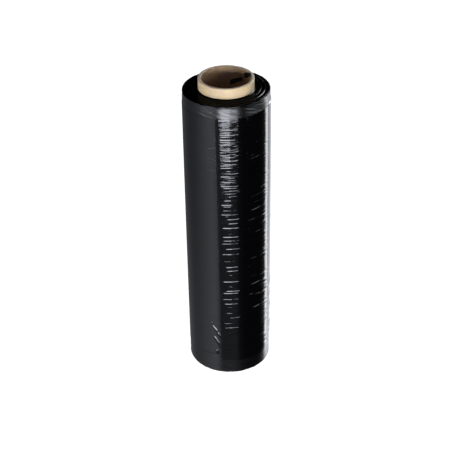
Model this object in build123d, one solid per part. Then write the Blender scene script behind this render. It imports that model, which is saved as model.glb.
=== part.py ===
"""A hand roll of stretch wrap: black film wound on a paperboard core.

The roll stands on the core's lower end. +Z runs up the roll's axis and the
origin is the middle of the core's lower end. The film's cut tail faces -Y,
a little to the -X side, and from there the outer turn runs towards +X.
All sizes are in millimetres.
"""

import os

from build123d import *

# Core
core_bore_diameter = 76.2
core_wall = 4.7
core_projection = 16.0
core_end_round = 0.6

# Film
film_width = 500.0
film_diameter = 137.0
film_rim_round = 1.8

# The outer turn was pulled tight, so it is narrower than the film under it
turn_step = 0.25
tail_step = 0.30
bare_top_band = 20.5
bare_bottom_band = 26.0
tail_angle = -14.0

core_inner_radius = core_bore_diameter / 2
core_outer_radius = core_inner_radius + core_wall
core_length = film_width + 2 * core_projection

film_outer_radius = film_diameter / 2
wound_radius = film_outer_radius - tail_step - turn_step
turn_width = film_width - bare_top_band - bare_bottom_band

film_bottom = core_projection
turn_bottom = film_bottom + bare_bottom_band


def make_core_tube():
    """One spiral-wound board tube, cut square, with its cut edges just broken."""
    tube = Cylinder(core_outer_radius, core_length, align=(Align.CENTER, Align.CENTER, Align.MIN))
    bore = Cylinder(core_inner_radius, core_length, align=(Align.CENTER, Align.CENTER, Align.MIN))
    tube = tube - bore
    return fillet(tube.edges().filter_by(GeomType.CIRCLE), core_end_round)


def make_wound_film():
    """The full-width turns, as one ring that fits the core, with soft outer rims."""
    ring = Cylinder(wound_radius, film_width, align=(Align.CENTER, Align.CENTER, Align.MIN))
    hole = Cylinder(core_outer_radius, film_width, align=(Align.CENTER, Align.CENTER, Align.MIN))
    outer_rims = ring.edges().filter_by(GeomType.CIRCLE)
    ring = fillet(outer_rims, film_rim_round) - hole
    return Pos(0, 0, film_bottom) * ring


def make_outer_turn():
    """The narrower last turn: two half-circle arcs that wind outwards to the cut tail.

    Seen from above the turn starts at the tail, at the film's full radius, and
    comes back round to it one tail_step further in, under the cut edge.
    """
    start_radius = film_outer_radius
    half_turn_radius = film_outer_radius - tail_step / 4
    last_radius = half_turn_radius - tail_step / 2
    far_point = start_radius - 2 * half_turn_radius
    end_point = far_point + 2 * last_radius
    with BuildSketch() as turn:
        with BuildLine():
            CenterArc((start_radius - half_turn_radius, 0), half_turn_radius, 0, 180)
            CenterArc((far_point + last_radius, 0), last_radius, 180, 180)
            Line((end_point, 0), (start_radius, 0))
        make_face()
        Circle(core_outer_radius, mode=Mode.SUBTRACT)
    solid = extrude(turn.sketch, turn_width)
    return Pos(0, 0, turn_bottom) * Rot(0, 0, tail_angle - 90) * solid


def make_film_roll():
    """All the film is one body: the wound ring with its last turn on it."""
    return make_wound_film() + make_outer_turn()


def single_solid(shape):
    solids = shape.solids()
    if len(solids) != 1:
        raise ValueError(f"expected one solid, got {len(solids)}")
    return solids[0]


os.makedirs("parts", exist_ok=True)
export_step(single_solid(make_core_tube()), "parts/core_tube.step")
export_step(single_solid(make_film_roll()), "parts/film_roll.step")
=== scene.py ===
"""The looks of a hand roll of black stretch wrap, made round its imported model.

The roll is a paperboard core with film wound on it. The film is made as two
pieces: the wound film, with its end faces and soft rims, and the outer turn,
which was pulled tight, so that it is narrower, glossier and creased.
"""

import math

import bmesh
import bpy
import numpy as np
from bpy.props import FloatProperty, FloatVectorProperty, PointerProperty
from bpy.types import Operator, Panel, PropertyGroup
from mathutils import Matrix, Vector


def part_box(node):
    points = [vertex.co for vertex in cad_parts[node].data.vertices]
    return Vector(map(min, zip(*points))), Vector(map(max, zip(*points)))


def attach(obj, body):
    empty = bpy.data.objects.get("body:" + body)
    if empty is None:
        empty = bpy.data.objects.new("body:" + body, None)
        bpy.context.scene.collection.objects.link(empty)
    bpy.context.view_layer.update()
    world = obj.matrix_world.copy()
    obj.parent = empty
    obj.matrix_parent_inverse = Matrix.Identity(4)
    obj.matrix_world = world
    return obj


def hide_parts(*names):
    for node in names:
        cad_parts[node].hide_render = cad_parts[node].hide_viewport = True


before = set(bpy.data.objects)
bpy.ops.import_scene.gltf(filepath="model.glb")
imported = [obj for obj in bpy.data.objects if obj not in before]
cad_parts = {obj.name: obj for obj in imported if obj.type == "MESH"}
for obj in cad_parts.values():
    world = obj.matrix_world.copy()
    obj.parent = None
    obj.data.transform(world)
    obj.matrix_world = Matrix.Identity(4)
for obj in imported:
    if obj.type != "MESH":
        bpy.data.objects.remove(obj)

bl_info = {
    "name": "Stretch wrap roll",
    "version": (1, 0, 0),
    "blender": (4, 5, 0),
    "location": "3D View > Sidebar > Wrap roll",
    "description": "Makes a roll of black stretch wrap on its core, and a studio for it",
    "category": "Object",
}

MM = 0.001
BODY = "root"
CORE_NODE = "core_tube"
FILM_NODE = "film_roll"

core_low, core_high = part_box(CORE_NODE)
film_low, film_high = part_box(FILM_NODE)
CORE_RADIUS = (core_high.x - core_low.x) / 2
FILM_RADIUS = (film_high.y - film_low.y) / 2
FILM_WIDTH = film_high.z - film_low.z
FILM_MIDDLE = (film_low.z + film_high.z) / 2
# Places closer than this count as the same
NEAR = 0.01 * MM


def linear(hex_colour):
    """An sRGB hex colour as linear RGBA."""
    parts = [int(hex_colour[i:i + 2], 16) / 255 for i in (1, 3, 5)]
    return [p / 12.92 if p <= 0.04045 else ((p + 0.055) / 1.055) ** 2.4 for p in parts] + [1.0]


# Sizes and colours that a user would change

class CoreSettings(PropertyGroup):
    wall: FloatProperty(
        name="Wall", description="Thickness of the board tube",
        default=4.7 * MM, unit="LENGTH")
    end_round: FloatProperty(
        name="End round", description="Rounding of the cut ends",
        default=0.7 * MM, unit="LENGTH")
    board_colour: FloatVectorProperty(
        name="Board", description="Colour of the board's face ply",
        default=linear("#dfc8a4")[:3], subtype="COLOR")


class FilmSettings(PropertyGroup):
    tail_angle: FloatProperty(
        name="Tail", description="Where the cut tail lies, from the front towards the right",
        default=math.radians(-13.5), subtype="ANGLE")
    tail_lean: FloatProperty(
        name="Tail lean", description="How far the tail's top leans away from upright",
        default=3.0 * MM, unit="LENGTH")
    turn_step: FloatProperty(
        name="Turn step", description="How far the outer turn stands off the film under it",
        default=0.25 * MM, unit="LENGTH")
    tail_step: FloatProperty(
        name="Tail step", description="Height of the cut tail over the turn under it",
        default=0.30 * MM, unit="LENGTH")
    rim_round: FloatProperty(
        name="Rim round", description="Rounding of the wound film's rims",
        default=1.8 * MM, unit="LENGTH")
    crown: FloatProperty(
        name="Crown", description="How much fatter the roll is at its middle than at its ends",
        default=0.35 * MM, unit="LENGTH")
    film_colour: FloatVectorProperty(
        name="Film", description="Colour of the black film",
        default=linear("#020203")[:3], subtype="COLOR")


class StudioSettings(PropertyGroup):
    softbox_radiance: FloatProperty(
        name="Softbox", description="Brightness of the softbox in front of the roll",
        default=13.0, min=0)
    strip_radiance: FloatProperty(
        name="Strip light", description="Brightness of the tall strip light behind right",
        default=3.6, min=0)
    key_radiance: FloatProperty(
        name="Key", description="Brightness of the light that falls on the board",
        default=15.4, min=0)


# Small helpers

def deselect_all():
    for thing in bpy.context.selected_objects:
        thing.select_set(False)


def name_piece(name):
    """Names the object just added and moves its place into its mesh."""
    piece = bpy.context.object
    piece.name = name
    piece.data.name = name
    bpy.ops.object.transform_apply(location=True, rotation=True, scale=True)
    return piece


def apply_modifier(piece, kind, **settings):
    modifier = piece.modifiers.new(kind.title(), kind)
    for key, value in settings.items():
        setattr(modifier, key, value)
    bpy.ops.object.modifier_apply(modifier=modifier.name)


def select_parts(piece, mode, wanted):
    """In edit mode, selects just the faces (FACE) or edges (EDGE) that the test accepts."""
    bpy.ops.mesh.select_mode(type=mode)
    bpy.ops.mesh.select_all(action="DESELECT")
    mesh = bmesh.from_edit_mesh(piece.data)
    for part in mesh.faces if mode == "FACE" else mesh.edges:
        part.select_set(bool(wanted(part)))
    mesh.select_flush_mode()
    bmesh.update_edit_mesh(piece.data)


def cut_rows(heights):
    """In edit mode, cuts the whole mesh level at each height."""
    for height in heights:
        bpy.ops.mesh.select_all(action="SELECT")
        bpy.ops.mesh.bisect(plane_co=(0, 0, height), plane_no=(0, 0, 1))


def read_points(piece):
    points = np.zeros(len(piece.data.vertices) * 3)
    piece.data.vertices.foreach_get("co", points)
    return points.reshape(-1, 3)


def write_points(piece, points):
    piece.data.vertices.foreach_set("co", points.ravel())
    piece.data.update()


def polar(points):
    """Angle from the front towards the right, radius and height of each point."""
    angle = np.arctan2(points[:, 0], -points[:, 1])
    return angle, np.hypot(points[:, 0], points[:, 1]), points[:, 2]


def from_polar(angle, radius, height):
    return np.stack([radius * np.sin(angle), -radius * np.cos(angle), height], axis=1)


def ease(value):
    """Smooth step from 0 to 1."""
    value = np.clip(value, 0, 1)
    return value * value * (3 - 2 * value)


def wave_noise(angle, height, around, tall, seed):
    """Smooth random waves from -1 to 1 that close round the roll.

    around is how many waves go round it, and tall is the height of one.
    """
    across = (angle / (2 * math.pi)) % 1 * around
    up = height / tall + 100
    column, row = np.floor(across).astype(int), np.floor(up).astype(int)
    lattice = np.random.default_rng(seed).uniform(-1, 1, (around, row.max() + 2))
    a, b = ease(across - column), ease(up - row)
    left, right = column % around, (column + 1) % around
    low = lattice[left, row] * (1 - a) + lattice[right, row] * a
    high = lattice[left, row + 1] * (1 - a) + lattice[right, row + 1] * a
    return low * (1 - b) + high * b


# Core

def make_core(settings):
    """The board tube: a round tube with softened, slightly uneven cut ends."""
    length = core_high.z - core_low.z
    deselect_all()
    bpy.ops.mesh.primitive_cylinder_add(
        vertices=192, radius=CORE_RADIUS, depth=length, end_fill_type="NOTHING",
        location=(0, 0, (core_low.z + core_high.z) / 2))
    tube = name_piece("core_board")
    apply_modifier(tube, "SOLIDIFY", thickness=settings.wall, offset=-1)

    def is_rim(edge):
        heights = [corner.co.z for corner in edge.verts]
        radii = [corner.co.xy.length for corner in edge.verts]
        return abs(heights[0] - heights[1]) < NEAR and abs(radii[0] - radii[1]) < NEAR

    bpy.ops.object.mode_set(mode="EDIT")
    select_parts(tube, "EDGE", is_rim)
    bpy.ops.mesh.bevel(offset=settings.end_round, segments=4)
    rows = [2 * MM, 4 * MM, 8 * MM]
    cut_rows([core_low.z + row for row in rows] + [core_high.z - row for row in rows])
    bpy.ops.object.mode_set(mode="OBJECT")

    angle, radius, height = polar(read_points(tube))
    to_end = np.minimum(height - core_low.z, core_high.z - height)
    wear = 1 - ease(to_end / (4 * MM))
    frayed = wave_noise(angle, radius, around=64, tall=3 * MM, seed=11)
    frayed = frayed + 0.6 * wave_noise(angle, radius, around=170, tall=2 * MM, seed=12)
    inward = np.where(height > length / 2, -1, 1)
    height = height + inward * wear * 0.10 * MM * (1 + frayed)
    radius = radius + wear * 0.05 * MM * wave_noise(angle, height, around=90, tall=3 * MM, seed=13)
    write_points(tube, from_polar(angle, radius, height))
    bpy.ops.object.shade_smooth()
    return tube


# Film

def crown_of(settings, height):
    """The roll's slight barrel shape: nothing at mid height, inwards to the ends."""
    return -settings.crown * ((height - FILM_MIDDLE) / (FILM_WIDTH / 2)) ** 2


def band_ruck(angle, height):
    """Low waves of the loose selvedge, which slant down towards the right at the front."""
    slanted = height + 25 * MM * np.sin(angle)
    long_waves = wave_noise(angle, height + 4 * MM * np.sin(angle), around=9, tall=5 * MM, seed=21)
    short_waves = wave_noise(angle, slanted, around=22, tall=2.4 * MM, seed=22)
    return (0.10 * long_waves + 0.11 * short_waves) * MM


def slipped_turns(angle, reach):
    """How far the turns of an end face stand out: some slipped, for part of the way round."""
    rough = 0.05 * MM * wave_noise(angle, reach, around=5, tall=1.3 * MM, seed=31)
    draw = np.random.default_rng(32)
    slipped_side = 0.1 + 0.9 * ease(np.cos(angle - math.radians(62)) + 0.3)
    for _ in range(9):
        middle = CORE_RADIUS + draw.uniform(0.1, 0.95) * (FILM_RADIUS - CORE_RADIUS)
        high = draw.uniform(0.3, 0.65) * MM
        turned = wave_noise(angle, reach * 0, around=3, tall=1 * MM, seed=draw.integers(1000))
        part = ease(0.5 + 1.5 * turned)
        rough = rough + high * part * slipped_side * np.exp(-((reach - middle) / (0.75 * MM)) ** 2)
    return rough


def make_wound_film(settings):
    """The full-width turns: a ring with ridged end faces and soft, ragged rims."""
    radius = FILM_RADIUS - settings.turn_step - settings.tail_step
    deselect_all()
    bpy.ops.mesh.primitive_cylinder_add(
        vertices=240, radius=radius, depth=FILM_WIDTH, end_fill_type="NGON",
        location=(0, 0, FILM_MIDDLE))
    roll = name_piece("wound_film")

    bpy.ops.object.mode_set(mode="EDIT")
    select_parts(roll, "EDGE", lambda edge: abs(edge.verts[0].co.z - edge.verts[1].co.z) < NEAR)
    bpy.ops.mesh.bevel(offset=settings.rim_round, segments=5)

    # The end faces are inset ring by ring down to the core
    flat = radius - settings.rim_round - CORE_RADIUS
    ring_count = 40
    select_parts(roll, "FACE", lambda face: abs(face.normal.z) > 0.99 and len(face.verts) > 8)
    for _ in range(ring_count):
        bpy.ops.mesh.inset(thickness=flat / ring_count, use_even_offset=True)
    bpy.ops.mesh.delete(type="FACE")
    bpy.ops.mesh.select_mode(type="EDGE")
    bpy.ops.mesh.select_all(action="DESELECT")
    bpy.ops.mesh.select_non_manifold()
    bpy.ops.mesh.bridge_edge_loops()

    # Close rows where the outer turn leaves the wound film bare
    top_rows = [film_high.z - settings.rim_round - step * 0.85 * MM for step in range(1, 27)]
    bottom_rows = [film_low.z + settings.rim_round + step * 0.95 * MM for step in range(1, 41)]
    cut_rows(top_rows + bottom_rows)
    bpy.ops.object.mode_set(mode="OBJECT")

    angle, reach, height = polar(read_points(roll))
    to_end = np.minimum(height - film_low.z, film_high.z - height)
    side = ease((reach - radius + 3 * MM) / (2.5 * MM))
    skin = ease(to_end / (4 * MM)) * side
    rim = side * (1 - ease(to_end / (5 * MM)))
    taper = 0.8 * MM * side * (1 - ease((film_high.z - height) / (24 * MM)))
    face = (1 - ease((to_end - 0.2 * MM) / (1 * MM))) * ease((reach - CORE_RADIUS) / (1.5 * MM))

    proud = slipped_turns(angle, reach)
    frill = wave_noise(angle, reach, around=120, tall=2 * MM, seed=33)
    frill = frill + wave_noise(angle, reach, around=47, tall=4 * MM, seed=34)
    inward = np.where(height > FILM_MIDDLE, -1, 1)
    dished = 0.6 * MM * (1 + np.cos(angle + math.radians(125))) * np.maximum(face, rim)
    height = height + inward * (face * (0.7 * MM - proud) + rim * 0.42 * MM * (1 + frill) + dished)
    reach = reach + skin * (band_ruck(angle, height) + crown_of(settings, height))
    reach = reach + rim * 0.12 * MM * frill - taper
    write_points(roll, from_polar(angle, reach, height))
    bpy.ops.object.shade_smooth()
    add_stretch(roll, np.zeros(len(angle)))
    return roll


def add_stretch(piece, values):
    """How far the film was stretched, from 0 to 1, for its material."""
    layer = piece.data.attributes.new("stretch", "FLOAT", "POINT")
    layer.data.foreach_set("value", values.astype(np.float32))


def turn_edges(around):
    """Heights of the outer turn's bottom and top edges, by angle after the tail.

    The top edge wanders a little. The bottom edge is lowest a third of the way
    round, and from there it climbs towards the turn's other end.
    """
    lowest = math.radians(120)
    before = np.clip(1 - around / lowest, 0, 1)
    after = np.clip((around - lowest) / (2 * math.pi - lowest), 0, 1)
    bare_top = 20.2 * MM - 1.8 * MM * np.cos(around - math.radians(130))
    bare_bottom = 22.6 * MM + 5.3 * MM * before ** 1.5 + 15.9 * MM * after ** 2.6
    return film_low.z + bare_bottom, film_high.z - bare_top


def crease_field(angle, height, draw, levels, longest, tall):
    """Sharp creases that run round the roll, each for a short way, at the given heights."""
    field = np.zeros_like(angle)
    order = np.argsort(height)
    sorted_height = height[order]
    for level in levels:
        middle = draw.uniform(-math.pi, math.pi)
        half = draw.uniform(0.3, 1.0) ** 2 * longest / 2 / FILM_RADIUS
        lean = draw.normal(0, 0.03)
        width = draw.uniform(0.7, 1.2) * tall
        high = 0.25 + 0.75 * draw.uniform(0, 1) ** 1.7
        reach = 3 * width + abs(lean) * half * FILM_RADIUS
        first, last = np.searchsorted(sorted_height, [level - reach, level + reach])
        near = order[first:last]
        off = (angle[near] - middle + math.pi) % (2 * math.pi) - math.pi
        rise = height[near] - level - lean * off * FILM_RADIUS
        ends = 1 - ease((np.abs(off) / half - 0.4) / 0.6)
        field[near] += high * ends * np.exp(-(rise / width) ** 2)
    return field


def pulled_creases(angle, height):
    """The finer creases of the tight turn: short and dense above, long and fewer below."""
    draw = np.random.default_rng(46)
    low, high = height.min(), height.max()
    fine_levels = high - (high - low) * draw.uniform(0, 1, 4600) ** 2.2
    fine = crease_field(angle, height, draw, fine_levels, 20 * MM, 0.58 * MM)
    clusters = low + (high - low) * draw.uniform(0, 1, 34) ** 1.2
    long_levels = np.concatenate([
        low + (high - low) * draw.uniform(0, 1, 600) ** 1.3,
        draw.choice(clusters, 800) + draw.normal(0, 4 * MM, 800)])
    long = crease_field(angle, height, draw, long_levels, 60 * MM, 0.58 * MM)
    downward = 1 - (height - low) / (high - low)
    right = ease((angle - math.radians(18)) / math.radians(20))
    fine = fine * (1 - 0.85 * right)
    long = long * (0.10 + 0.32 * downward + right * (0.24 * downward - 0.06))
    above_edge = 0.2 + 0.8 * ease((height - low) / (30 * MM))
    # At the front the sharp pulls take their place
    front = ease((0.45 - angle) / 0.1) * ease((angle + 0.3) / 0.1)
    long = long * (1 - 0.7 * front * ease((downward - 0.06) / 0.22))
    return (0.09 * fine + long * above_edge) * MM


def line_crease(angle, height, start, end, width, high):
    """A ridge along a straight line from start to end, each an angle and a height."""
    run, rise = (end[0] - start[0]) * FILM_RADIUS, end[1] - start[1]
    across, up = (angle - start[0]) * FILM_RADIUS, height - start[1]
    along = np.clip((across * run + up * rise) / (run ** 2 + rise ** 2), 0, 1)
    away = np.hypot(across - along * run, up - along * rise)
    return high * np.exp(-(away / width) ** 2)


def ladder(draw, count, low, high):
    """Uneven steps between two shares of the film's width."""
    shares = low + (high - low) * (np.arange(count) + draw.uniform(0, 1, count)) / count
    return film_low.z + shares * FILM_WIDTH


def sharp_pulls(angle, height):
    """The sharpest lines of the pull: level creases, close above, few below, fewest on the right."""
    draw = np.random.default_rng(48)
    field = np.zeros_like(height)
    # How many, between which shares of the width, from and to which angles, and the highest
    groups = (
        (25, (0.16, 0.64), (-10, 2), (12, 17), 0.34 * MM),
        (31, (0.64, 0.93), (-11, 3), (4, 16), 0.18 * MM),
        (17, (0.16, 0.68), (22, 38), (50, 58), 0.36 * MM),
    )
    for count, shares, starts, ends, highest in groups:
        for level in ladder(draw, count, *shares):
            start = (math.radians(draw.uniform(*starts)), level)
            end = (math.radians(draw.uniform(*ends)), level)
            high = draw.uniform(0.5, 1.0) * highest
            field = np.maximum(field, line_crease(angle, height, start, end, 0.85 * MM, high))
    return field


def tail_dents(angle, height, tail):
    """Thin dents in the turn beside the tail, which run out from under it."""
    draw = np.random.default_rng(49)
    field = np.zeros_like(height)
    for level in ladder(draw, 10, 0.2, 0.93):
        start = (tail - math.radians(draw.uniform(4, 14)), level + draw.uniform(-8, 8) * MM)
        field = field - line_crease(angle, height, start, (tail, level), 0.8 * MM, 0.15 * MM)
    return field


def corner_creases(angle, height, tail, corner):
    """Creases that run down to the tail, where its lower corner was crumpled."""
    wriggle = wave_noise(angle, height, around=50, tall=8 * MM, seed=47)
    wriggling = angle + math.radians(1.3) * wriggle
    field = np.zeros_like(height)
    for step in range(3):
        start = (tail - math.radians(12 - 3 * step), corner + (74 - 28 * step) * MM)
        end = (tail + math.radians(1 + step), start[1] - (30 - 6 * step) * MM)
        field = np.maximum(field, line_crease(wriggling, height, start, end, 1.3 * MM, 1.25 * MM))
    return field


def make_flat_sheet():
    """A sheet one unit square, with a fine grid on top, four sides and a plain underside."""
    columns, rows = 105, 880
    deselect_all()
    bpy.ops.mesh.primitive_grid_add(x_subdivisions=columns, y_subdivisions=rows, size=1)
    sheet = name_piece("outer_turn")
    bpy.ops.object.mode_set(mode="EDIT")
    select_parts(sheet, "EDGE", lambda edge: edge.is_boundary)
    bpy.ops.mesh.extrude_region_move(TRANSFORM_OT_translate={"value": (0, 0, -1)})
    close_underside(sheet)
    bpy.ops.object.mode_set(mode="OBJECT")
    return sheet


def turn_rucks(angle, height, wavy):
    """Low rucks of the tight turn: slow, middling and small, the small ones fading downwards."""
    share = (height - film_low.z) / FILM_WIDTH
    slow = 0.12 * wave_noise(angle, wavy, around=7, tall=22 * MM, seed=43)
    middling = 0.05 * wave_noise(angle, wavy, around=13, tall=7 * MM, seed=44)
    # Two sheared grains, so that they don't line up in columns
    small = 0.016 * wave_noise(angle + 3 * height, wavy, around=31, tall=2.0 * MM, seed=45)
    small = small + 0.012 * wave_noise(angle - 5 * height, wavy, around=57, tall=1.6 * MM, seed=50)
    small = small * (0.35 + 0.65 * ease((share - 0.35) / 0.3))
    return (slow + middling + small) * MM


def place_sheet(flat, settings):
    """Where each point of the flat sheet comes to lie: its angle after the tail, its
    bearing on the roll and its height. Columns lie closer on both sides of the tail,
    and rows closer near the top."""
    around = np.interp(flat[:, 0] + 0.5, [0, 0.286, 0.524, 0.714, 1], np.radians([0, 60, 180, 330, 360]))
    upward = np.interp(flat[:, 1] + 0.5, [0, 0.59, 1], [0, 0.667, 1])
    bottom, top = turn_edges(around)
    height = bottom + upward * (top - bottom)
    share = (height - film_low.z) / FILM_WIDTH
    lean = settings.tail_lean * (0.5 - share) / FILM_RADIUS
    nick = 0.6 * MM * wave_noise(around * 0, height, around=1, tall=5 * MM, seed=41) / FILM_RADIUS
    return around, settings.tail_angle + lean + nick + around, height


def make_outer_turn(settings):
    """The last turn: a sheet laid flat, creased, and wrapped once round the roll."""
    sheet = make_flat_sheet()
    flat = read_points(sheet)
    around, angle, height = place_sheet(flat, settings)
    bottom, top = turn_edges(around)

    from_tail = around * FILM_RADIUS
    stretch = 1 - ease((around - math.radians(150)) / math.radians(120))
    edges = ease((top - height) / (2 * MM)) * ease((height - bottom) / (2 * MM))
    laid = ease((from_tail - 1.5 * MM) / (4 * MM)) * edges
    bearing = (angle + math.pi) % (2 * math.pi) - math.pi
    wavy = height + 1.0 * MM * wave_noise(angle, height, around=9, tall=26 * MM, seed=42)
    rucks = turn_rucks(angle, height, wavy) * (0.3 + 0.7 * stretch)

    # The tail's upper corner stands off the roll, and its lower corner is crumpled
    flared = ease(1 - (top - height) / (26 * MM)) * (1 - ease((from_tail - 6 * MM) / (5 * MM)))
    crumpled = corner_creases(bearing, height, settings.tail_angle, bottom[0])
    creases = pulled_creases(bearing, wavy) * (0.3 + 0.7 * stretch) * (1 - flared)
    creases = np.maximum(creases, sharp_pulls(bearing, wavy))
    creases = creases + tail_dents(bearing, height, settings.tail_angle) + crumpled
    hem = 1 - ease((height - bottom) / (1.8 * MM))

    radius = FILM_RADIUS - settings.tail_step * around / (2 * math.pi)
    radius = radius + crown_of(settings, height) + laid * (rucks + creases) + 0.9 * MM * flared
    radius = radius - 0.60 * MM * hem * ease((around - math.radians(180)) / math.radians(60))
    underside = flat[:, 2] < -0.5
    radius = np.where(underside, FILM_RADIUS - 1.2 * MM, radius)
    write_points(sheet, from_polar(angle, radius, height))
    bpy.ops.object.mode_set(mode="EDIT")
    bpy.ops.mesh.select_all(action="SELECT")
    bpy.ops.mesh.normals_make_consistent(inside=False)
    bpy.ops.object.mode_set(mode="OBJECT")
    add_stretch(sheet, np.maximum(stretch, ease(crumpled / (0.3 * MM))))
    bpy.ops.object.shade_smooth_by_angle(angle=math.radians(50))
    return sheet


def close_underside(sheet):
    """In edit mode, closes the sheet's underside with one strip of faces."""
    mesh = bmesh.from_edit_mesh(sheet.data)
    low = [corner for corner in mesh.verts if corner.co.z < -0.5]
    left = sorted((c for c in low if c.co.x < -0.4999), key=lambda c: c.co.y)
    right = sorted((c for c in low if c.co.x > 0.4999), key=lambda c: c.co.y)
    lower = sorted((c for c in low if c.co.y < -0.4999), key=lambda c: c.co.x)
    upper = sorted((c for c in low if c.co.y > 0.4999), key=lambda c: c.co.x)
    mesh.faces.new(left + [upper[1], lower[1]])
    for column in range(1, len(lower) - 2):
        mesh.faces.new([lower[column], upper[column], upper[column + 1], lower[column + 1]])
    mesh.faces.new([lower[-2], upper[-2]] + right[::-1])
    bmesh.update_edit_mesh(sheet.data)


# Materials

MATH = "ShaderNodeMath"


def node(tree, kind, settings, inputs):
    """Adds a node with its settings; each input is a value or the socket that feeds it."""
    made = tree.nodes.new(kind)
    for key, value in settings.items():
        setattr(made, key, value)
    for key, value in inputs.items():
        if isinstance(value, bpy.types.NodeSocket):
            tree.links.new(value, made.inputs[key])
        else:
            made.inputs[key].default_value = value
    return made


def new_material(name):
    material = bpy.data.materials.new(name)
    material.use_nodes = True
    tree = material.node_tree
    return material, tree, tree.nodes["Principled BSDF"]


def stretched_black_polyethylene(settings):
    """Black LLDPE film, cast and wound: hazy where it lies as wound, and glossy
    with fine lines round the roll where it was pulled tight."""
    material, tree, shader = new_material("stretched_black_polyethylene")
    shader.inputs["Base Color"].default_value = (*settings.film_colour, 1)
    shader.inputs["IOR"].default_value = 1.51
    place = node(tree, "ShaderNodeTexCoord", {}, {}).outputs["Object"]
    stretch = node(tree, "ShaderNodeAttribute", {"attribute_name": "stretch"}, {}).outputs["Fac"]

    patches = node(tree, "ShaderNodeTexNoise", {}, {"Vector": place, "Scale": 22.0, "Detail": 2.0})
    haze = node(tree, "ShaderNodeMapRange", {},
                {"Value": patches.outputs["Fac"], "To Min": 0.19, "To Max": 0.29})
    gloss = node(tree, "ShaderNodeMix", {"data_type": "FLOAT"},
                 {"Factor": stretch, "A": haze.outputs["Result"], "B": 0.10})
    tree.links.new(gloss.outputs["Result"], shader.inputs["Roughness"])

    # Lines of the pull, drawn coarse enough to show: cells of 25 mm round the roll and
    # 2.2 mm up it, and of 10 mm and 1.1 mm
    long_lines = node(tree, "ShaderNodeMapping", {}, {"Vector": place, "Scale": (40, 40, 450)})
    long_noise = node(tree, "ShaderNodeTexNoise", {}, {
        "Vector": long_lines.outputs["Vector"], "Scale": 1.0, "Detail": 3.0, "Roughness": 0.55})
    short_lines = node(tree, "ShaderNodeMapping", {}, {"Vector": place, "Scale": (100, 100, 900)})
    short_noise = node(tree, "ShaderNodeTexNoise", {}, {
        "Vector": short_lines.outputs["Vector"], "Scale": 1.0, "Detail": 2.0, "Roughness": 0.5})
    low_bump = node(tree, "ShaderNodeBump", {}, {
        "Height": short_noise.outputs["Fac"], "Strength": 0.5, "Distance": 0.10 * MM})
    bump = node(tree, "ShaderNodeBump", {}, {
        "Height": long_noise.outputs["Fac"], "Normal": low_bump.outputs["Normal"],
        "Strength": 0.3, "Distance": 0.15 * MM})
    tree.links.new(bump.outputs["Normal"], shader.inputs["Normal"])
    return material


def distance_from_axis(tree, x, y):
    """How far each point is from the roll's axis."""
    flat = node(tree, "ShaderNodeCombineXYZ", {}, {"X": x, "Y": y}).outputs["Vector"]
    return node(tree, "ShaderNodeVectorMath", {"operation": "LENGTH"}, {0: flat}).outputs["Value"]


def stacked_polyethylene_edges(settings):
    """The slit edges of the film's turns, stacked: a light trap that reads near black."""
    material, tree, shader = new_material("stacked_polyethylene_edges")
    shader.inputs["Base Color"].default_value = (*settings.film_colour, 1)
    shader.inputs["Roughness"].default_value = 0.16
    shader.inputs["Specular IOR Level"].default_value = 0.01
    place = node(tree, "ShaderNodeTexCoord", {}, {}).outputs["Object"]
    split = node(tree, "ShaderNodeSeparateXYZ", {}, {"Vector": place}).outputs
    reach = distance_from_axis(tree, split["X"], split["Y"])
    # Single turns are 0.02 mm, so packets of 0.8 mm stand for them
    turns = node(tree, "ShaderNodeTexNoise", {"noise_dimensions": "1D"}, {
        "W": reach, "Scale": 1250.0, "Detail": 2.0})
    bump = node(tree, "ShaderNodeBump", {}, {
        "Height": turns.outputs["Fac"], "Strength": 0.6, "Distance": 0.10 * MM})
    tree.links.new(bump.outputs["Normal"], shader.inputs["Normal"])
    return material


def ink_bar(tree, bearing, height, middle, size, slant):
    """Mask of one bar printed inside the core; middle and size are degrees and metres."""
    off = node(tree, MATH, {"operation": "SUBTRACT"}, {0: bearing, 1: math.radians(middle[0])}).outputs[0]
    leaning = node(tree, MATH, {"operation": "MULTIPLY_ADD"}, {0: off, 1: slant, 2: height}).outputs[0]
    across = node(tree, MATH, {"operation": "COMPARE"}, {0: off, 1: 0.0, 2: math.radians(size[0]) / 2})
    up = node(tree, MATH, {"operation": "COMPARE"}, {0: leaning, 1: middle[1], 2: size[1] / 2})
    both = {0: across.outputs[0], 1: up.outputs[0]}
    return node(tree, MATH, {"operation": "MULTIPLY"}, both).outputs[0]


def printed_marks(tree, bearing, height):
    """Mask of the print inside the mouth: two plain marks, each a long bar over a short one."""
    bar_height, slant = 7 * MM, -15 * MM
    marks = 0.0
    # Where each mark starts and how far it spans, in degrees, and its depth in the mouth
    for start, span, depth in ((9, 31, 22 * MM), (47, 32, 5 * MM)):
        for share, drop in ((1.0, 0), (0.45, 4.1 * MM)):
            middle = (start + span * share / 2, core_high.z - depth - drop)
            bar = ink_bar(tree, bearing, height, middle, (span * share, bar_height), slant)
            marks = node(tree, MATH, {"operation": "MAXIMUM"}, {0: bar, 1: marks}).outputs[0]
    return marks


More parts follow.
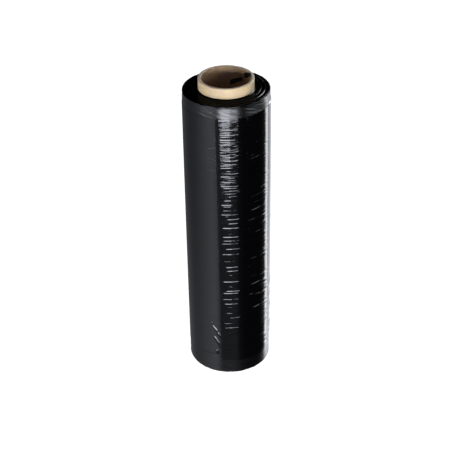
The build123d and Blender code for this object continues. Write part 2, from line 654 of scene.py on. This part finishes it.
def board_lines(tree, bearing, reach, height):
    """Mask of the seam between the board's turns, and of the plies on its cut ends."""
    # The ply's seam climbs 90 mm a turn, and is drawn 0.8 mm wide
    seam_climb, seam_width = 90 * MM, 0.8 * MM
    climb = node(tree, MATH, {"operation": "MULTIPLY_ADD"}, {
        0: bearing, 1: seam_climb / (2 * math.pi), 2: height}).outputs[0]
    turns = node(tree, MATH, {"operation": "MULTIPLY"}, {0: climb, 1: 1 / seam_climb}).outputs[0]
    turn = node(tree, MATH, {"operation": "FRACT"}, {0: turns}).outputs[0]
    seam = node(tree, MATH, {"operation": "COMPARE"}, {0: turn, 1: 0.5, 2: seam_width / seam_climb / 2})

    # Plies of 0.4 mm show on the cut ends, drawn 0.9 mm thick
    ply_drawn = 0.9 * MM
    phase = node(tree, MATH, {"operation": "MULTIPLY"}, {0: reach, 1: 2 * math.pi / ply_drawn}).outputs[0]
    ply = node(tree, MATH, {"operation": "SINE"}, {0: phase}).outputs[0]
    ply_edge = node(tree, MATH, {"operation": "LESS_THAN"}, {0: ply, 1: -0.5}).outputs[0]
    at_top = node(tree, MATH, {"operation": "GREATER_THAN"}, {0: height, 1: core_high.z - 0.4 * MM})
    at_bottom = node(tree, MATH, {"operation": "LESS_THAN"}, {0: height, 1: core_low.z + 0.4 * MM})
    at_end = node(tree, MATH, {"operation": "MAXIMUM"}, {
        0: at_top.outputs[0], 1: at_bottom.outputs[0]}).outputs[0]
    cut_ply = node(tree, MATH, {"operation": "MULTIPLY"}, {0: ply_edge, 1: at_end}).outputs[0]
    return node(tree, MATH, {"operation": "MAXIMUM"}, {0: seam.outputs[0], 1: cut_ply}).outputs[0]


def kraft_board(settings):
    """Spiral-wound kraft board: a smooth face ply with a soft sheen, mottled by its
    fibres, with a seam between its turns, and plain printed bars inside."""
    material, tree, shader = new_material("kraft_board")
    place = node(tree, "ShaderNodeTexCoord", {}, {}).outputs["Object"]
    split = node(tree, "ShaderNodeSeparateXYZ", {}, {"Vector": place}).outputs
    reach = distance_from_axis(tree, split["X"], split["Y"])
    # Bearing from the back, so that the printed side has no jump in it
    bearing = node(tree, MATH, {"operation": "ARCTAN2"}, {0: split["X"], 1: split["Y"]}).outputs[0]

    # Fibre flocks of 3 mm
    flocks = node(tree, "ShaderNodeTexNoise", {}, {
        "Vector": place, "Scale": 330.0, "Detail": 4.0, "Roughness": 0.6})
    tint = node(tree, "ShaderNodeMix", {"data_type": "RGBA"}, {
        "Factor": flocks.outputs["Fac"],
        "A": (*[part * 0.86 for part in settings.board_colour], 1),
        "B": (*[min(1, part * 1.12) for part in settings.board_colour], 1)})

    # Patches of 8 mm that lean to pink or to yellow
    patches = node(tree, "ShaderNodeTexNoise", {}, {"Vector": place, "Scale": 125.0, "Detail": 1.0})
    hue = node(tree, "ShaderNodeValToRGB", {}, {"Fac": patches.outputs["Fac"]})
    pink, yellow = hue.color_ramp.elements
    pink.position, pink.color = 0.35, linear("#fdf7ff")
    yellow.position, yellow.color = 0.65, linear("#ffffef")
    warm = node(tree, "ShaderNodeMix", {"data_type": "RGBA", "blend_type": "MULTIPLY"}, {
        "Factor": 1.0, "A": tint.outputs["Result"], "B": hue.outputs["Color"]})

    drawn = board_lines(tree, bearing, reach, split["Z"])
    faint = node(tree, MATH, {"operation": "MULTIPLY"}, {0: drawn, 1: 0.25}).outputs[0]
    lined = node(tree, "ShaderNodeMix", {"data_type": "RGBA", "blend_type": "MULTIPLY"}, {
        "Factor": faint, "A": warm.outputs["Result"], "B": linear("#a08360")})

    # Inside the tube the board is painted darker and pinker, as painted shade of the bore
    inside_reach = CORE_RADIUS - settings.wall * 0.7
    inside = node(tree, MATH, {"operation": "LESS_THAN"}, {0: reach, 1: inside_reach}).outputs[0]
    painted_shade_inside = node(tree, "ShaderNodeMix", {"data_type": "RGBA", "blend_type": "MULTIPLY"}, {
        "Factor": inside, "A": lined.outputs["Result"], "B": linear("#dccfcc")})
    marks = node(tree, MATH, {"operation": "MULTIPLY"}, {
        0: printed_marks(tree, bearing, split["Z"]), 1: inside}).outputs[0]
    inked = node(tree, "ShaderNodeMix", {"data_type": "RGBA"}, {
        "Factor": marks, "A": painted_shade_inside.outputs["Result"], "B": linear("#1c1915")})
    tree.links.new(inked.outputs["Result"], shader.inputs["Base Color"])

    shader.inputs["Roughness"].default_value = 0.5
    shader.inputs["Specular IOR Level"].default_value = 0.25
    # Single fibres are too fine to show, so the grain is 2 mm long and 0.7 mm tall
    fibres = node(tree, "ShaderNodeMapping", {}, {"Vector": place, "Scale": (500, 500, 1400)})
    grain = node(tree, "ShaderNodeTexNoise", {}, {
        "Vector": fibres.outputs["Vector"], "Scale": 1.0, "Detail": 3.0, "Roughness": 0.6})
    bump = node(tree, "ShaderNodeBump", {}, {
        "Height": grain.outputs["Fac"], "Strength": 0.35, "Distance": 0.08 * MM})
    tree.links.new(bump.outputs["Normal"], shader.inputs["Normal"])
    return material


# Studio

COOL = "#f1f5ff"
NEUTRAL = "#fffeff"
DAYLIGHT = "#f9fcff"

# Brightness of the tent by bearing (degrees from the front) and by height (metres): dark at its
# foot, bright just below what upright film mirrors, and brightest at its top
BEARING_LEVELS = (
    (-180, 0.17), (-110, 0.20), (-88, 0.35), (-60, 0.7), (-35, 1.1), (-29, 0.45), (-22, 0.18), (17, 0.20),
    (30, 0.05), (45, 0.02), (98, 0.012), (113, 0.05), (119, 0.4), (131, 1.6), (137, 1.6), (180, 1.3),
)
HEIGHT_LEVELS = ((-4.7, 0.1), (-3.9, 1.15), (-3.1, 1.25), (-1.9, 0.82), (-1.2, 0.85), (0.6, 2.0))


def fill_ramp(ramp, low, high, full, levels):
    """Sets a colour ramp's stops; full is the level that the ramp gives as white."""
    for count, (place, level) in enumerate(levels):
        spot = (place - low) / (high - low)
        element = ramp.elements[count] if count < 2 else ramp.elements.new(spot)
        element.position = spot
        element.color = (level / full, level / full, level / full, 1)


def make_tent():
    """A tent round the roll that only its gloss sees, brighter to the left and behind right.

    It ends not far above the roll, so that the upper end face stays black.
    """
    top, depth, radius = 0.9, 7.0, 4
    # The ramps hold shares of this brightness
    full = 4.0
    deselect_all()
    bpy.ops.mesh.primitive_cylinder_add(
        vertices=128, radius=radius, depth=depth, end_fill_type="NOTHING",
        location=(0, 0, top - depth / 2))
    tent = name_piece("light_tent")
    material = bpy.data.materials.new("tent_cloth")
    material.use_nodes = True
    tree = material.node_tree
    tree.nodes.clear()
    place = node(tree, "ShaderNodeTexCoord", {}, {}).outputs["Object"]
    split = node(tree, "ShaderNodeSeparateXYZ", {}, {"Vector": place}).outputs

    back = node(tree, MATH, {"operation": "MULTIPLY"}, {0: split["Y"], 1: -1.0}).outputs[0]
    bearing = node(tree, MATH, {"operation": "ARCTAN2"}, {0: split["X"], 1: back}).outputs[0]
    part = node(tree, "ShaderNodeMapRange", {}, {
        "Value": bearing, "From Min": -math.pi, "From Max": math.pi})
    ramp = node(tree, "ShaderNodeValToRGB", {}, {"Fac": part.outputs["Result"]})
    fill_ramp(ramp.color_ramp, -180, 180, full, BEARING_LEVELS)
    level = node(tree, MATH, {"operation": "MULTIPLY"}, {0: ramp.outputs["Color"], 1: full}).outputs[0]

    rows = node(tree, "ShaderNodeMapRange", {}, {
        "Value": split["Z"], "From Min": top - depth, "From Max": top})
    shade = node(tree, "ShaderNodeValToRGB", {}, {"Fac": rows.outputs["Result"]})
    fill_ramp(shade.color_ramp, top - depth, top, full, HEIGHT_LEVELS)
    share = node(tree, MATH, {"operation": "MULTIPLY"}, {0: shade.outputs["Color"], 1: full}).outputs[0]
    strength = node(tree, MATH, {"operation": "MULTIPLY"}, {0: level, 1: share}).outputs[0]

    glow = node(tree, "ShaderNodeEmission", {}, {"Color": linear("#f3f6ff"), "Strength": strength})
    node(tree, "ShaderNodeOutputMaterial", {}, {"Surface": glow.outputs["Emission"]})
    material.cycles.emission_sampling = "NONE"
    tent.data.materials.append(material)
    tent.visible_camera = False
    tent.visible_diffuse = False
    tent.visible_shadow = False


def area_light(name, place, aim_height, size, radiance, colour, mirrored):
    """A soft light aimed at the roll's axis, which either only gloss sees or only the rest does."""
    light = bpy.data.lights.new(name, "AREA")
    light.shape = "RECTANGLE"
    light.size, light.size_y = size
    light.energy = radiance * math.pi * size[0] * size[1]
    light.color = linear(colour)[:3]
    lamp = bpy.data.objects.new(name, light)
    bpy.context.scene.collection.objects.link(lamp)
    lamp.location = around_roll(*place)
    aim = Vector((0, 0, aim_height)) - lamp.location
    lamp.rotation_euler = aim.to_track_quat("-Z", "Y").to_euler()
    lamp.visible_camera = False
    lamp.visible_diffuse = not mirrored
    lamp.visible_glossy = mirrored


def around_roll(bearing, distance, height):
    """A place in the studio: bearing in degrees from the front towards the right."""
    turn = math.radians(bearing)
    return distance * math.sin(turn), -distance * math.cos(turn), height


def make_lights(settings):
    """Softboxes that the film mirrors, and plain soft lights that fall on the board."""
    front, strip, key = settings.softbox_radiance, settings.strip_radiance, settings.key_radiance
    # Name, then bearing, distance and height, height aimed at, size, radiance and colour
    softboxes = (
        ("softbox", (-5.5, 2.6, 0.42), 0.45, (1.12, 2.50), front, COOL),
        ("softbox_right", (16, 2.6, 0.53), 0.45, (0.98, 2.30), front * 0.65, COOL),
        ("left_panel", (-48, 2.6, 0.6), 0.6, (1.5, 1.4), 7.0, COOL),
        ("side_panel", (80, 2.5, 0.45), 0.45, (2.9, 1.7), 2.4, COOL),
        ("strip_light", (125, 3, 0.5), 0.5, (0.65, 6), strip, NEUTRAL),
        ("arc_light", (153, 3, 2.6), 0.5, (0.9, 0.9), 120.0, NEUTRAL),
    )
    soft_lights = (
        ("key", (0, 2.6, 0.45), 0.5, (1.6, 1.0), key, DAYLIGHT),
        ("side_key", (65, 2.6, 1.1), 0.5, (0.7, 0.7), key * 0.46, DAYLIGHT),
        ("back_fill", (-125, 2.6, 0.9), 0.5, (2.4, 1.2), 5.0, DAYLIGHT),
        ("top_light", (0, 0, 3), 0.45, (1.2, 1.2), 1.2, DAYLIGHT),
    )
    for light in softboxes:
        area_light(*light, mirrored=True)
    for light in soft_lights:
        area_light(*light, mirrored=False)


def make_floor():
    """White paper that glows evenly, so that it shows no shadow."""
    deselect_all()
    bpy.ops.mesh.primitive_plane_add(size=60, location=(0, 0, core_low.z))
    floor = name_piece("floor")
    material, tree, shader = new_material("floor_paper")
    shader.inputs["Base Color"].default_value = linear("#959595")
    shader.inputs["Roughness"].default_value = 1.0
    shader.inputs["Emission Color"].default_value = (1, 1, 1, 1)
    shader.inputs["Emission Strength"].default_value = 0.97
    floor.data.materials.append(material)
    floor.visible_glossy = False
    floor.visible_diffuse = False
    floor.visible_shadow = False


def make_world():
    """A white backdrop, which lights nothing."""
    world = bpy.data.worlds.new("studio")
    bpy.context.scene.world = world
    world.use_nodes = True
    back = world.node_tree.nodes["Background"]
    back.inputs["Color"].default_value = (1, 1, 1, 1)
    back.inputs["Strength"].default_value = 1.0
    world.cycles_visibility.glossy = False
    world.cycles_visibility.diffuse = False


def make_camera():
    camera = bpy.data.cameras.new("camera")
    camera.sensor_width = 36
    camera.lens = 93.1
    stand = bpy.data.objects.new("camera", camera)
    bpy.context.scene.collection.objects.link(stand)
    place = Vector((-3.53, -1593.5, 1290.3)) * MM
    # Degrees below level, and degrees of tip
    looks_down, tipped = 32.713, -0.902
    tilt = Matrix.Rotation(math.radians(90 - looks_down), 4, "X")
    tip = Matrix.Rotation(math.radians(tipped), 4, "Z")
    stand.matrix_world = Matrix.Translation(place) @ tilt @ tip
    bpy.context.scene.camera = stand


def make_stage(settings):
    make_floor()
    make_world()
    make_tent()
    make_lights(settings)
    make_camera()
    bpy.context.scene.view_settings.view_transform = "Standard"


# Operators

def settle(piece, node_name, slot, *materials):
    for material in materials:
        piece.data.materials.append(material)
    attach(piece, BODY)
    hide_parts(node_name)


class WRAPROLL_OT_core(Operator):
    """Makes the board core"""
    bl_idname = "wraproll.core"
    bl_label = "Core"

    def execute(self, context):
        settings = context.scene.wraproll_core
        settle(make_core(settings), CORE_NODE, "board", kraft_board(settings))
        return {"FINISHED"}


class WRAPROLL_OT_film(Operator):
    """Makes the wound film and its outer turn"""
    bl_idname = "wraproll.film"
    bl_label = "Film"

    def execute(self, context):
        settings = context.scene.wraproll_film
        film = stretched_black_polyethylene(settings)
        roll = make_wound_film(settings)
        settle(roll, FILM_NODE, "film", film, stacked_polyethylene_edges(settings))
        for face in roll.data.polygons:
            if abs(face.normal.z) > 0.6 and face.center.xy.length < FILM_RADIUS - 1.2 * MM:
                face.material_index = 1
        settle(make_outer_turn(settings), FILM_NODE, "film", film)
        return {"FINISHED"}


class WRAPROLL_OT_stage(Operator):
    """Makes the floor, the lights and the camera"""
    bl_idname = "wraproll.stage"
    bl_label = "Studio"

    def execute(self, context):
        make_stage(context.scene.wraproll_studio)
        return {"FINISHED"}


class WRAPROLL_PT_panel(Panel):
    bl_idname = "WRAPROLL_PT_panel"
    bl_label = "Wrap roll"
    bl_space_type = "VIEW_3D"
    bl_region_type = "UI"
    bl_category = "Wrap roll"

    def draw(self, context):
        for name in ("wraproll_core", "wraproll_film", "wraproll_studio"):
            group = getattr(context.scene, name)
            for key in group.__annotations__:
                self.layout.prop(group, key)
        for operator in (WRAPROLL_OT_core, WRAPROLL_OT_film, WRAPROLL_OT_stage):
            self.layout.operator(operator.bl_idname)


CLASSES = (
    CoreSettings, FilmSettings, StudioSettings,
    WRAPROLL_OT_core, WRAPROLL_OT_film, WRAPROLL_OT_stage, WRAPROLL_PT_panel,
)


def register():
    for cls in CLASSES:
        bpy.utils.register_class(cls)
    bpy.types.Scene.wraproll_core = PointerProperty(type=CoreSettings)
    bpy.types.Scene.wraproll_film = PointerProperty(type=FilmSettings)
    bpy.types.Scene.wraproll_studio = PointerProperty(type=StudioSettings)


def unregister():
    del bpy.types.Scene.wraproll_studio
    del bpy.types.Scene.wraproll_film
    del bpy.types.Scene.wraproll_core
    for cls in reversed(CLASSES):
        bpy.utils.unregister_class(cls)


def main():
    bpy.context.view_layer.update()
    register()
    bpy.ops.wraproll.core()
    bpy.ops.wraproll.film()
    bpy.ops.wraproll.stage()


if __name__ == "__main__":
    main()
